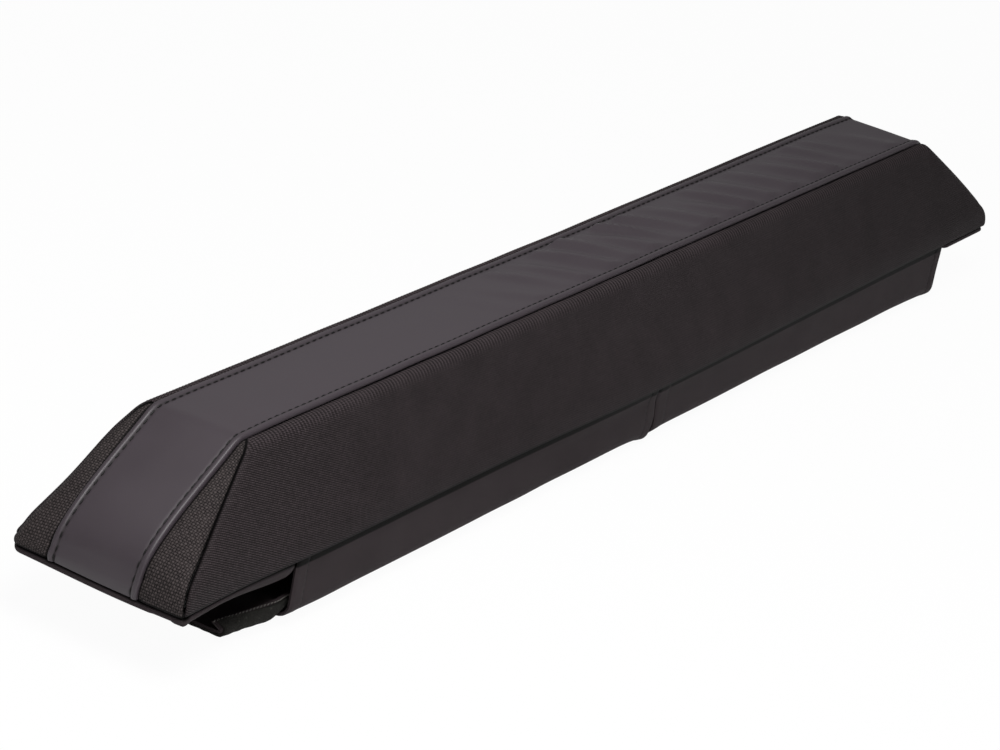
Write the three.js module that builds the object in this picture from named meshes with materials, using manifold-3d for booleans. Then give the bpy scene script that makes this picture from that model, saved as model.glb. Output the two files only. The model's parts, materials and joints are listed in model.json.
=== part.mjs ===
// A long, wide pad that lies on the load bar of a roof rack and cushions a board, in millimetres.
// X runs along the pad, the near long side faces -Y and Z is up.
// The origin is under the middle of the sleeve that closes round the load bar.

import * as THREE from "three";
import { mergeVertices } from "three/addons/utils/BufferGeometryUtils.js";
import Module from "manifold-3d";

// The pad
const padLength = 760; // at the base seam
const padWidth = 93; // at the base seam
const padHeight = 53; // from the base seam to the load face
const topLength = 642; // load face, from crease to crease
const topWidth = 53; // across the shoulders
const shoulderRadius = 6;
const creaseRadius = 9; // where the load face turns down into an end
const endRise = 9; // the short upright foot of each end
const kneeRadius = 7; // where an end turns from its slope to its foot
const hipRise = 9; // height up to which the long sides stand almost upright
const hipTurnIn = 1.4; // and how far they lean in over that height
const hipRadius = 26;
const planCornerRadius = 5;

// The cover
const coverThickness = 1.5;
const seamGap = 0.3; // between two panels, and between a panel and the foam
const topPanelWidth = 48; // from lapped edge to lapped edge
const lapWidth = 5; // each long edge of the top panel is folded under and stitched down
const lapProud = 1;
const baseEdgeThickness = 2.4; // the base panel at its sewn rim
const basePadThickness = 3.9; // and over its padded middle
const basePadBevel = 1.2;
const basePadRound = 3; // how far in from its edge the padded middle is rounded

// The sleeve under the pad: two pairs of flaps that wrap the load bar and close on each other
const sleeveDrop = 29; // from the base seam down to the underside of the sleeve
const flapSetIn = 2; // outer face of a flap's wall, inside the base seam
const flapThickness = 1.2;
const foldRadius = 7; // outer radius of the fold at the foot of the outer flaps
const flapLength = 313; // along the pad
const flapSplit = 3; // between the two flaps of a pair
const flapShift = 17.5; // near pair towards +X, far pair towards -X
const nearFlapReach = 26; // how far a near flap runs in under the bar
const farFlapRise = 10.5; // height of a far flap's free edge, inside the near wall
const tapeThickness = 1.2;
const tapeRise = 9.5; // height of the upper edge of both tapes
const tapeReach = 24; // how far both tapes run in under the bar
const tapeSetBack = 4; // from a flap's end to the tape's end
const stepEnd = 5; // Y at which a far flap comes down level with the near flaps
const stepLength = 20;

const arcStep = THREE.MathUtils.degToRad(15);
const past = 40; // cutting solids run this far beyond what they cut

const wasm = await Module();
wasm.setup();

const seamHeight = sleeveDrop;
const part = new THREE.Group();

// One material for each cloth or foam
function finish(color, roughness) {
  return new THREE.MeshStandardMaterial({ color, roughness, metalness: 0 });
}

const finishes = {
  coatedCloth: () => finish(0x37353a, 0.45),
  wovenCloth: () => finish(0x1b1b1d, 0.8),
  flapCloth: () => finish(0x202022, 0.75),
  closureTape: () => finish(0x131314, 0.95),
  foam: () => finish(0x3a3a3c, 0.9),
};

// Moves each edge of a counterclockwise outline outwards by its own distance
function offsetOutline(points, distances) {
  const edges = points.map((point, i) => {
    const along = points[(i + 1) % points.length].clone().sub(point).normalize();
    const outwards = new THREE.Vector2(along.y, -along.x);
    return { start: point.clone().addScaledVector(outwards, distances[i]), along };
  });
  return edges.map((edge, i) => {
    const before = edges[(i + edges.length - 1) % edges.length];
    const between = edge.start.clone().sub(before.start);
    const reach = between.cross(edge.along) / before.along.cross(edge.along);
    return before.start.clone().addScaledVector(before.along, reach);
  });
}

// An outline whose corners are rounded, each with its own radius
function roundedOutline(points, radii) {
  const outline = [];
  points.forEach((corner, i) => {
    const radius = radii[i];
    if (radius <= 0) {
      outline.push(corner);
      return;
    }
    const before = points[(i + points.length - 1) % points.length];
    const after = points[(i + 1) % points.length];
    const back = before.clone().sub(corner).normalize();
    const ahead = after.clone().sub(corner).normalize();
    const half = Math.acos(THREE.MathUtils.clamp(back.dot(ahead), -1, 1)) / 2;
    const centre = back.clone().add(ahead).setLength(radius / Math.sin(half)).add(corner);
    const start = back.clone().multiplyScalar(radius / Math.tan(half)).add(corner).sub(centre);
    const turn = Math.sign(back.cross(ahead)) * -(Math.PI - 2 * half);
    const steps = Math.max(2, Math.ceil(Math.abs(turn) / arcStep));
    for (let k = 0; k <= steps; k++) {
      outline.push(start.clone().rotateAround(new THREE.Vector2(), (turn * k) / steps).add(centre));
    }
  });
  return outline;
}

function point(x, y) {
  return new THREE.Vector2(x, y);
}

// A prism of a closed outline, drawn in XY and raised along Z
function prism(outline, depth) {
  return new THREE.ExtrudeGeometry(new THREE.Shape(outline), { depth, bevelEnabled: false });
}

// The same with the outline drawn in YZ and the depth along X, centred on a place
function prismAlongX(outline, length, middle = 0) {
  const geometry = prism(outline, length);
  geometry.applyMatrix4(new THREE.Matrix4().makeBasis(
    new THREE.Vector3(0, 1, 0),
    new THREE.Vector3(0, 0, 1),
    new THREE.Vector3(1, 0, 0),
  ));
  return geometry.translate(middle - length / 2, 0, 0);
}

// The same with the outline drawn in XZ and the depth along Y
function prismAlongY(outline, width) {
  const geometry = prism(outline, width);
  geometry.rotateX(Math.PI / 2);
  return geometry.translate(0, width / 2, 0);
}

function toSolid(geometry) {
  const bare = geometry.index ? geometry.toNonIndexed() : geometry.clone();
  bare.deleteAttribute("normal");
  bare.deleteAttribute("uv");
  const merged = mergeVertices(bare, 1e-4);
  return new wasm.Manifold(new wasm.Mesh({
    numProp: 3,
    vertProperties: merged.attributes.position.array,
    triVerts: new Uint32Array(merged.index.array),
  }));
}

function toGeometry(solid) {
  const mesh = solid.getMesh();
  const geometry = new THREE.BufferGeometry();
  geometry.setAttribute("position", new THREE.BufferAttribute(mesh.vertProperties, 3));
  geometry.setIndex(new THREE.BufferAttribute(mesh.triVerts, 1));
  geometry.computeVertexNormals();
  return geometry;
}

function add(name, shape, material) {
  const geometry = shape.isBufferGeometry ? shape : toGeometry(shape);
  const mesh = new THREE.Mesh(geometry, material());
  mesh.name = name;
  part.add(mesh);
}

// The pad's form, grown by an offset: its long section, its cross section and its plan in common
function crossSection(offset, bottom) {
  const hip = point(padWidth / 2 - hipTurnIn, seamHeight + hipRise);
  const shoulder = point(topWidth / 2, seamHeight + padHeight);
  const foot = point(padWidth / 2, seamHeight);
  const mirrored = [shoulder, hip, foot].map((p) => point(-p.x, p.y));
  const corners = offsetOutline(
    [foot, hip, shoulder, ...mirrored],
    [offset, offset, offset, offset, offset, bottom],
  );
  const turned = [0, hipRadius + offset, shoulderRadius + offset];
  return roundedOutline(corners, [...turned, ...turned.toReversed()]);
}

function longSection(offset, bottom) {
  const foot = point(padLength / 2, seamHeight);
  const knee = point(padLength / 2, seamHeight + endRise);
  const crease = point(topLength / 2, seamHeight + padHeight);
  const mirrored = [crease, knee, foot].map((p) => point(-p.x, p.y));
  const corners = offsetOutline(
    [foot, knee, crease, ...mirrored],
    [offset, offset, offset, offset, offset, bottom],
  );
  const turned = [0, kneeRadius + offset, creaseRadius + offset];
  return roundedOutline(corners, [...turned, ...turned.toReversed()]);
}

function planOutline(offset) {
  const halfLength = padLength / 2 + offset;
  const halfWidth = padWidth / 2 + offset;
  const corners = [
    point(-halfLength, -halfWidth),
    point(halfLength, -halfWidth),
    point(halfLength, halfWidth),
    point(-halfLength, halfWidth),
  ];
  const radius = Math.max(planCornerRadius + offset, 1);
  return roundedOutline(corners, corners.map(() => radius));
}

// bottom is how far below the base seam the form goes
function padForm(offset, bottom) {
  const across = prismAlongX(crossSection(offset, bottom), padLength + past);
  const along = prismAlongY(longSection(offset, bottom), padWidth + past);
  const plan = prism(planOutline(offset), padHeight + sleeveDrop + past);
  return toSolid(across).intersect(toSolid(along)).intersect(toSolid(plan));
}

const outside = padForm(0, 0);
const inside = padForm(-coverThickness, past / 2);
const cover = outside.subtract(inside);

// What of a solid stands over a plan outline, less half the gap of a seam all round
function above(solid, outline) {
  const trimmed = offsetOutline(outline, outline.map(() => -seamGap / 2));
  return solid.intersect(toSolid(prism(trimmed, padHeight + sleeveDrop + past)));
}

function rectangle(x0, y0, x1, y1) {
  return [point(x0, y0), point(x1, y0), point(x1, y1), point(x0, y1)];
}

// Foam block with sloped ends that fills the cover
function makeFoamCore() {
  add("foam_core", padForm(-coverThickness - seamGap, 0), finishes.foam);
}

// Smooth coated strip that runs up one end, over the top and down the other,
// with its long edges folded under and standing proud
function makeTopPanel() {
  const end = padLength / 2 + past;
  const edge = topPanelWidth / 2;
  const strip = above(cover, rectangle(-end, -edge, end, edge));
  const raised = padForm(lapProud, 0).subtract(inside);
  const nearLap = above(raised, rectangle(-end, -edge, end, -edge + lapWidth));
  const farLap = above(raised, rectangle(-end, edge - lapWidth, end, edge));
  add("top_panel", strip.add(nearLap).add(farLap), finishes.coatedCloth);
}

// The hip seam between a side panel and an end gusset, seen from above, for one corner
function hipSeam(signX, signY) {
  const top = point(topLength / 2, topWidth / 2);
  const foot = point(padLength / 2, padWidth / 2);
  const along = foot.clone().sub(top);
  const atLap = top.clone().addScaledVector(along, (topPanelWidth / 2 - top.y) / along.y);
  const beyond = foot.clone().addScaledVector(along, past / along.x);
  const place = (p) => point(signX * p.x, signY * p.y);
  return { atLap: place(atLap), beyond: place(beyond) };
}

function makeSidePanel(name, signY) {
  const left = hipSeam(-1, signY);
  const right = hipSeam(1, signY);
  const outline = [left.atLap, left.beyond, right.beyond, right.atLap];
  add(name, above(cover, signY < 0 ? outline : outline.toReversed()), finishes.wovenCloth);
}

function makeGusset(name, signX, signY) {
  const seam = hipSeam(signX, signY);
  const outline = [seam.atLap, seam.beyond, point(seam.beyond.x, seam.atLap.y)];
  add(name, above(cover, signX * signY < 0 ? outline : outline.toReversed()), finishes.wovenCloth);
}

// Padded base panel, thin at its sewn rim and thicker over its middle
function makeBasePanel() {
  const top = seamHeight - seamGap;
  const rim = prism(planOutline(0), baseEdgeThickness).translate(0, 0, top - baseEdgeThickness);
  const insideFlaps = flapSetIn + flapThickness + seamGap;
  const flat = new THREE.Shape(planOutline(-insideFlaps - basePadRound));
  const middle = new THREE.ExtrudeGeometry(flat, {
    depth: basePadThickness - 2 * basePadBevel,
    bevelThickness: basePadBevel,
    bevelSize: basePadRound,
    bevelSegments: 2,
  });
  middle.translate(0, 0, top - basePadThickness + basePadBevel);
  add("base_panel", toSolid(rim).add(toSolid(middle)), finishes.wovenCloth);
}

// The points beside those of an open path, at a distance to its right
function besidePath(path, distance) {
  return path.map((corner, i) => {
    const into = i > 0 ? corner.clone().sub(path[i - 1]).normalize() : null;
    const onward = i < path.length - 1 ? path[i + 1].clone().sub(corner).normalize() : into;
    const first = into ?? onward;
    const mitre = point(first.y + onward.y, -first.x - onward.x);
    return corner.clone().addScaledVector(mitre, distance / (1 + first.dot(onward)));
  });
}

// The closed outline of a strip of cloth that follows a folded path, whose points are its middle line.
// A left turn has its larger radius on the right-hand face.
function foldedStrip(path, radii, thickness) {
  const face = (distance) => {
    const corners = besidePath(path, distance);
    const turned = radii.map((radius, i) => {
      if (radius === 0) return 0;
      const into = path[i].clone().sub(path[i - 1]);
      const onward = path[i + 1].clone().sub(path[i]);
      return radius + Math.sign(into.cross(onward)) * distance;
    });
    return { corners, turned };
  };
  const right = face(thickness / 2);
  const left = face(-thickness / 2);
  return roundedOutline(
    [...right.corners, ...left.corners.toReversed()],
    [...right.turned, ...left.turned.toReversed()],
  );
}

const flapTop = seamHeight - seamGap - baseEdgeThickness - seamGap;
const wall = padWidth / 2 - flapSetIn;

// Layer 0 is a near flap, 1 the tape on it, 2 the tape on the far flap, 3 the far flap's turned-up end
const layerThickness = [flapThickness, tapeThickness, tapeThickness, flapThickness];

function layerDepth(layer) {
  const outer = layerThickness.slice(0, layer).reduce((sum, t) => sum + t + seamGap, 0);
  return outer + layerThickness[layer] / 2;
}

// A layer of the closure: down the near wall, round the fold and in under the bar
function closureLayer(layer, top, reach) {
  const depth = layerDepth(layer);
  const path = [point(-wall + depth, top), point(-wall + depth, depth), point(-wall + reach, depth)];
  return foldedStrip(path, [0, foldRadius - depth, 0], layerThickness[layer]);
}

function makeNearFlap(name, tapeName, side) {
  const middle = flapShift + (side * (flapLength + flapSplit)) / 2;
  const flap = closureLayer(0, flapTop, nearFlapReach);
  const tape = closureLayer(1, tapeRise, tapeReach);
  add(name, prismAlongX(flap, flapLength, middle), finishes.flapCloth);
  add(tapeName, prismAlongX(tape, flapLength - 2 * tapeSetBack, middle), finishes.closureTape);
}

// A far flap goes down the far wall, under the bar and up inside the near flap
function makeFarFlap(name, tapeName, side) {
  const middle = -flapShift + (side * (flapLength + flapSplit)) / 2;
  const depth = layerDepth(3);
  const level = flapThickness / 2;
  const outerFold = foldRadius - level;
  const path = [
    point(-wall + depth, farFlapRise),
    point(-wall + depth, depth),
    point(stepEnd - stepLength, depth),
    point(stepEnd, level),
    point(wall - level, level),
    point(wall - level, flapTop),
  ];
  const flap = foldedStrip(path, [0, foldRadius - depth, outerFold, outerFold, outerFold, 0], flapThickness);
  const tape = closureLayer(2, tapeRise, tapeReach);
  add(name, prismAlongX(flap, flapLength, middle), finishes.flapCloth);
  add(tapeName, prismAlongX(tape, flapLength - 2 * tapeSetBack, middle), finishes.closureTape);
}

makeFoamCore();
makeTopPanel();
makeSidePanel("side_panel_near", -1);
makeSidePanel("side_panel_far", 1);
makeGusset("end_gusset_left_near", -1, -1);
makeGusset("end_gusset_left_far", -1, 1);
makeGusset("end_gusset_right_near", 1, -1);
makeGusset("end_gusset_right_far", 1, 1);
makeBasePanel();
makeNearFlap("flap_near_left", "hook_tape_near_left", -1);
makeNearFlap("flap_near_right", "hook_tape_near_right", 1);
makeFarFlap("flap_far_left", "loop_tape_far_left", -1);
makeFarFlap("flap_far_right", "loop_tape_far_right", 1);

export default part;
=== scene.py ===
# %% [markdown]
# # A long pad for a roof rack bar
#
# The real pad is a block of foam with sloped ends, sewn into a cloth cover. Four cloth flaps under it
# wrap the bar of a roof rack and close on each other with hook-and-loop tape. The measured frame gives
# every panel its place, and this lesson cuts the cloth, seats it on that frame and finishes it.

# %% Load the measured frame
import json
import math
import random
from functools import partialmethod

import bpy
import numpy as np
from mathutils import Matrix, Vector, noise


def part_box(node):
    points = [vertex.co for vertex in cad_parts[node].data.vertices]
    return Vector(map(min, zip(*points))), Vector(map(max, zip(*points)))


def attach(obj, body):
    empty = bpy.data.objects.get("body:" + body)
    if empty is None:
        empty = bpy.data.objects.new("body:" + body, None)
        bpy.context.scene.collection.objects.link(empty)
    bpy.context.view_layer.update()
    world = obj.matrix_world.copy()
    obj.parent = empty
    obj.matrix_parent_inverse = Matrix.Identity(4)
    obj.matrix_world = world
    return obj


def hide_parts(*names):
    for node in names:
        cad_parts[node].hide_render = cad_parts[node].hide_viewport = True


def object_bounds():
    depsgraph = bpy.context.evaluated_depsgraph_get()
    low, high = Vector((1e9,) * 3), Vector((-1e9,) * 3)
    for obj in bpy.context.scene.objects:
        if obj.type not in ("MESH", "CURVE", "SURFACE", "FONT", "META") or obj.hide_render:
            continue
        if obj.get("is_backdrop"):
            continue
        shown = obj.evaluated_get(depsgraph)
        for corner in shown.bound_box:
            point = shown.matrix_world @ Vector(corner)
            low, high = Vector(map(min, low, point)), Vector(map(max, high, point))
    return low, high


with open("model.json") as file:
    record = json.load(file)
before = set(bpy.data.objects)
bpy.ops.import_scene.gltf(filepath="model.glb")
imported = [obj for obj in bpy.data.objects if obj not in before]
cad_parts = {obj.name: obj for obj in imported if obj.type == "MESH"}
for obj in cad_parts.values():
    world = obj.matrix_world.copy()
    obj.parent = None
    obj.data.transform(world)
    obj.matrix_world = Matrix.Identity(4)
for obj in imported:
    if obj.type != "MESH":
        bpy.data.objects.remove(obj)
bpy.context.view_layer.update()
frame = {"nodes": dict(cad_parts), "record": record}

MM = 0.001

# %% [markdown]
# ## Sizes
#
# The main sizes come from the frame, so that the cloth follows the pad if it changes. Those that the
# frame doesn't state, such as the turn of a shoulder, are written here in millimetres.

# %% Sizes from the frame
mounts = {mount["name"]: Vector(mount["pos_m"]) for mount in frame["record"]["mounts"]}
base_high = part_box("base_panel")[1]
far_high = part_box("flap_far_left")[1]
half_length, half_width = base_high.xy
load_height = mounts["load_face"].z
seam_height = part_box("side_panel_near")[0].z
wall = far_high.y
print("the base seam is", round(seam_height / MM, 1), "mm and the load face", round(load_height / MM, 1))

# %% Sizes of the cover
half_top_length = 321 * MM
half_top_width = 26.5 * MM
half_panel = 22.2 * MM  # the coated panel, out to its lapped edges
shoulder_radius = 6 * MM
crease_radius = 12 * MM
knee_radius = 14 * MM
hip_radius = 26 * MM
hip_rise = 9 * MM
hip_turn_in = 1.4 * MM
lap_width = 3.3 * MM
lap_proud = 0.8 * MM
lap_flank = 1.2 * MM  # how far in the folded edge is still rounding over
lap_sink = 1.1 * MM  # how far its seam lies under the panel
rib_pitch = 2.28 * MM
cover_thickness = 1.5 * MM
flap_thickness = 1.2 * MM
fold_radius = 7 * MM
layer_step = flap_thickness + 0.3 * MM
signs = {"near": -1, "far": 1}  # of Y on the near and the far side

# %% Adding one object
def add(operator, **settings):
    """Runs an operator that adds an object, and returns the object"""
    bpy.ops.object.select_all(action="DESELECT")
    operator(**settings)
    return bpy.context.object


# %% [markdown]
# ## The camera
#
# The photograph was taken with a long lens from the pad's left end, a little from above, with the
# camera tilted about its own axis. The camera is described by those angles and placed round the pad.

# %% Place the camera
image_width_px = 1000
focal_length_px = 4142.7
sensor_width_mm = 36.0
view_azimuth = math.radians(-62.893)
view_elevation = math.radians(21.451)
view_roll = math.radians(10.947)
view_distance = 1.9609
view_aside = -0.0310
view_above = -0.0081


def add_camera(aim):
    flat = math.cos(view_elevation)
    back = Vector((math.sin(view_azimuth) * flat, -math.cos(view_azimuth) * flat, math.sin(view_elevation)))
    level = Vector((math.cos(view_azimuth), math.sin(view_azimuth), 0))
    rise = back.cross(level)
    right = level * math.cos(view_roll) + rise * math.sin(view_roll)
    above = rise * math.cos(view_roll) - level * math.sin(view_roll)
    place = aim + back * view_distance + right * view_aside + above * view_above
    turn = Matrix((right, above, back)).transposed()
    camera = add(bpy.ops.object.camera_add, location=place, rotation=turn.to_euler())
    camera.data.sensor_width = sensor_width_mm
    camera.data.lens = focal_length_px * sensor_width_mm / image_width_px
    return camera


bpy.context.scene.camera = add_camera(Vector((0, 0, seam_height)))
print("lens", round(bpy.context.scene.camera.data.lens, 1), "mm")

# %% [markdown]
# ## Materials
#
# A material is a small program of nodes. The class Wire wraps a node's output, so that node maths reads
# like ordinary Python, and Finish holds the nodes of one material. Every cloth pattern reads the piece's
# own UV map, which is laid out in metres of real cloth, so a weave has its true size everywhere.

# %% Node maths as expressions
class Wire:
    def __init__(self, finish, socket):
        self.finish = finish
        self.socket = socket

    def maths(self, operation, *others):
        inputs = dict(enumerate((self, *others)))
        return self.finish.node("ShaderNodeMath", {"operation": operation}, inputs)

    __add__ = __radd__ = partialmethod(maths, "ADD")
    __mul__ = __rmul__ = partialmethod(maths, "MULTIPLY")
    __sub__ = partialmethod(maths, "SUBTRACT")
    __pow__ = partialmethod(maths, "POWER")
    above = partialmethod(maths, "GREATER_THAN")
    sine = partialmethod(maths, "SINE")
    size = partialmethod(maths, "ABSOLUTE")

    def __rsub__(self, other):
        return self.finish.node("ShaderNodeMath", {"operation": "SUBTRACT"}, {0: other, 1: self})

    def beside(self, output):
        """Another output of the same node"""
        return Wire(self.finish, self.socket.node.outputs[output])

    def between(self, low, high):
        """0 at low, 1 at high, and a smooth rise between them"""
        ends = {"Value": self, "From Min": low, "From Max": high}
        return self.finish.node("ShaderNodeMapRange", {"interpolation_type": "SMOOTHSTEP"}, ends)


class Finish:
    def __init__(self, name, base_color, roughness, **uniform):
        self.material = bpy.data.materials.new(name)
        self.material.use_nodes = True
        self.tree = self.material.node_tree
        self.shader = self.tree.nodes["Principled BSDF"]
        self.material.diffuse_color = (*base_color, 1)
        self.set("Base Color", (*base_color, 1))
        self.set("Roughness", roughness)
        for socket, value in uniform.items():
            self.set(socket.replace("_", " "), value)

    def node(self, kind, settings=None, inputs=None, output=0):
        made = self.tree.nodes.new(kind)
        for name, value in (settings or {}).items():
            setattr(made, name, value)
        for name, value in (inputs or {}).items():
            self.join(made.inputs[name], value)
        return Wire(self, made.outputs[output])

    def join(self, socket, value):
        if isinstance(value, Wire):
            self.tree.links.new(value.socket, socket)
        else:
            socket.default_value = value

    def set(self, name, value):
        self.join(self.shader.inputs[name], value)

    def place(self):
        """The place on the pad, in metres"""
        return self.node("ShaderNodeTexCoord", output=3)

    def spot(self):
        """The place on the flat cloth, in metres"""
        return self.node("ShaderNodeUVMap", {"uv_map": "cloth"})

    def along_and_across(self):
        along = self.node("ShaderNodeSeparateXYZ", None, {0: self.spot()})
        return along, along.beside(1)

    def from_seam(self):
        """The distance to the nearest seam, which lay_cloth writes on the piece"""
        return self.node("ShaderNodeAttribute", {"attribute_name": "from_seam"}, output=2)

    def speckle(self, scale, detail=2.0, where=None):
        where = where or self.place()
        return self.node("ShaderNodeTexNoise", None, {"Vector": where, "Scale": scale, "Detail": detail})

    def blend(self, share, first, second):
        """A colour between two colours, each a Wire or three numbers"""
        first, second = (part if isinstance(part, Wire) else (*part, 1) for part in (first, second))
        return self.node("ShaderNodeMix", {"data_type": "RGBA"}, {0: share, 6: first, 7: second}, output=2)

    def paint(self, share, first, second):
        self.set("Base Color", self.blend(share, first, second))

    def bump(self, height, depth, strength=1.0):
        """height is from 0 to 1, and depth is what 1 means in metres"""
        inputs = {"Height": height, "Distance": depth, "Strength": strength}
        self.set("Normal", self.node("ShaderNodeBump", None, inputs))


# %% [markdown]
# ### Woven cloth
#
# The sides and gussets are a coarse, dark polyester. In a plain weave each crossing of two yarns stands
# up as a small dome, so the sine of one direction times the sine of the other gives the height. Where the
# side is gathered under the lap, it stands in fine ribs square to the stitching, and painted light and shade
# make their crests lighter and the gaps between them darker. Its left end is dusty, which brings out the
# yarns and faint slanting lines. Towards its right end the side is painted darker, as painted shade, and the
# valley of every seam gets painted shade.

# %% The weave's height, and the woven finishes
yarn_pitch = 1.15 * MM
twill_pitch = 1.02 * MM
twill_slope = 0.42
dust_x = -0.34, -0.19  # dusty on the left of the first, clean on the right of the second
# the colour of the shade painted into the valleys of seams
painted_seam_shade = (0.0015, 0.0013, 0.0013)
side_colours = (0.0095, 0.0074, 0.0079), (0.056, 0.0440, 0.0475)
gusset_colours = (0.004, 0.0034, 0.0038), (0.074, 0.061, 0.060)


def weave(finish, pitch):
    """The height of the yarn on top, and 1 where that is the yarn that runs along"""
    along, across = finish.along_and_across()
    wave_along = (along * (math.pi / pitch)).sine()
    wave_across = (across * (math.pi / pitch)).sine()
    over = (wave_along * wave_across).above(0.0)
    crest_along, crest_across = wave_along.size(), wave_across.size()
    runs_along = crest_across**0.7 * (crest_along * 0.5 + 0.5)
    runs_across = crest_along**0.7 * (crest_across * 0.5 + 0.5)
    return over * runs_along + (1.0 - over) * runs_across, over


def paint_seam_shade(finish, colour):
    """Paints shade into the cloth's colour, darkening it in the valley of a seam"""
    finish.paint(finish.from_seam().between(0.3 * MM, 1.3 * MM), painted_seam_shade, colour)


def woven_cloth(name, ribbed):
    finish = Finish(name, (0.024, 0.020, 0.021), 0.75, Specular_IOR_Level=0.12)
    dome, top_yarn = weave(finish, yarn_pitch)
    patch = finish.speckle(60.0, 3.0)
    slub = finish.speckle(420.0, 2.0, finish.spot()) - 0.5
    if ribbed:
        along, down = finish.along_and_across()
        # painted light and shade on the ribs: lighter on their crests, darker between them, fading out down
        # the side
        rib = ((along * (2 * math.pi / rib_pitch)).sine() + 1.0) * 0.5
        rib = (rib**1.6 - 0.25) * (1.0 - down.between(4 * MM, 10 * MM))
        x = finish.node("ShaderNodeSeparateXYZ", None, {0: finish.place()})
        dusty = 1.0 - x.between(*dust_x)
        twill = ((down - along * twill_slope) * (2 * math.pi / twill_pitch)).sine()
        grain = (dome + twill * 0.85) * (dusty * 0.55 + 0.06) + slub * (dusty * 0.7 + 0.2)
        # Painted shade: x.between(0.1, 0.4) makes the side darker towards its right end.
        light = grain + patch * 0.25 + rib * 0.8 - dusty * 0.36 - x.between(0.1, 0.4) * 0.08 + 0.12
        colour = finish.blend(light, *side_colours)
    else:
        light = dome * 0.8 + top_yarn * 0.3 + slub * 0.7 + patch * 0.2 - 0.3
        colour = finish.blend(light, *gusset_colours)
    paint_seam_shade(finish, colour)
    finish.bump(dome, (0.1 if ribbed else 0.3) * MM, 0.8)
    finish.set("Roughness", 0.85 - dome * 0.15)
    return finish.material


side_cloth = woven_cloth("side_cloth", ribbed=True)
gusset_cloth = woven_cloth("gusset_cloth", ribbed=False)
print("made", side_cloth.name, "and", gusset_cloth.name)

# %% [markdown]
# ### Coated cloth, flap cloth, tape, thread and foam
#
# The top panel is coated, so it is smooth and satin, with a grain too fine to see as a weave. In the
# groove of its stitches it is dull, and its colour there is darker with painted shade. The flaps are a
# finer cloth. The loop tape is a fuzz of small loops, and the hook tape a grid of stiff hooks.

# %% The other finishes
def coated_cloth():
    finish = Finish("coated_cloth", (0.047, 0.037, 0.045), 0.43, Specular_IOR_Level=0.46)
    grain = finish.speckle(1500.0, 2.0, finish.spot())
    cloud = finish.speckle(35.0, 2.0)
    # the groove of the stitches gets painted shade in its colour, and is rougher
    smooth = finish.from_seam().between(0.1 * MM, 0.8 * MM)
    colour = finish.blend(cloud, (0.0420, 0.0330, 0.0395), (0.0510, 0.0405, 0.0480))
    finish.paint(smooth, (0.026, 0.0205, 0.0235), colour)
    finish.set("Roughness", cloud * 0.1 + grain * 0.08 + 0.75 - smooth * 0.38)
    finish.bump(grain, 0.05 * MM, 0.5)
    return finish.material


def flap_cloth():
    finish = Finish("flap_cloth", (0.030, 0.024, 0.026), 0.75, Specular_IOR_Level=0.08)
    dome, top_yarn = weave(finish, 0.55 * MM)
    patch = finish.speckle(45.0, 3.0)
    light = dome * 0.4 + top_yarn * 0.1 + patch * 0.5
    colour = finish.blend(light, (0.0180, 0.0140, 0.0152), (0.0460, 0.0360, 0.0390))
    paint_seam_shade(finish, colour)
    finish.set("Roughness", 0.8 - dome * 0.12)
    finish.bump(dome, 0.08 * MM, 0.5)
    return finish.material


def loop_pile():
    finish = Finish("loop_pile", (0.008, 0.0075, 0.007), 0.95, Specular_IOR_Level=0.2)
    fuzz = finish.speckle(1700.0, 3.0)
    bright = finish.speckle(800.0, 1.0).between(0.66, 0.8)
    finish.paint(fuzz * 0.5 + bright, (0.0025, 0.0024, 0.0022), (0.05, 0.048, 0.042))
    finish.bump(fuzz, 0.8 * MM, 1.0)
    return finish.material


def hook_face():
    finish = Finish("hook_face", (0.012, 0.012, 0.012), 0.6)
    dome, _ = weave(finish, 1.6 * MM)
    finish.paint(dome, (0.005, 0.005, 0.005), (0.03, 0.03, 0.03))
    finish.bump(dome, 0.5 * MM, 1.0)
    return finish.material


def thread(name, colour):
    finish = Finish(name, colour, 0.6, Specular_IOR_Level=0.3)
    ply = finish.speckle(2500.0, 1.0)
    finish.paint(ply, tuple(0.5 * part for part in colour), colour)
    return finish.material


def foam_finish():
    finish = Finish("foam", (0.05, 0.05, 0.052), 0.9)
    cell = finish.node("ShaderNodeTexVoronoi", None, {"Vector": finish.place(), "Scale": 700.0})
    finish.paint(cell, (0.03, 0.03, 0.031), (0.062, 0.062, 0.064))
    finish.bump(cell, 0.3 * MM, 0.8)
    return finish.material


coated = coated_cloth()
flap_finish = flap_cloth()
loops = loop_pile()
hooks = hook_face()
dark_thread = thread("dark_thread", (0.007, 0.0065, 0.0065))
pale_thread = thread("pale_thread", (0.17, 0.165, 0.15))
foam = foam_finish()
print("made", coated.name, flap_finish.name, loops.name, hooks.name, foam.name, "and two threads")

# %% [markdown]
# ## How a piece is laid and finished
#
# A panel starts as a flat grid of cloth. Each of its points is then seated on the pad by a function, as a
# sewer would pin it, and its UV map keeps the point's place on the flat cloth. A Solidify modifier gives
# the cloth its thickness, inwards, so the seated grid stays the outer face.

# %% Helpers for every piece
smooth_angle = math.radians(35)


def select_only(piece):
    bpy.ops.object.select_all(action="DESELECT")
    piece.select_set(True)
    bpy.context.view_layer.objects.active = piece


def edit(piece, *steps):
    """Runs mesh operators on the whole of a piece in edit mode"""
    select_only(piece)
    bpy.ops.object.mode_set(mode="EDIT")
    bpy.ops.mesh.select_all(action="SELECT")
    for step in steps:
        step()
    bpy.ops.object.mode_set(mode="OBJECT")


def apply_modifier(piece, kind, **settings):
    select_only(piece)
    modifier = piece.modifiers.new(kind.title(), kind)
    for name, value in settings.items():
        setattr(modifier, name, value)
    bpy.ops.object.modifier_apply(modifier=modifier.name)


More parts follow.
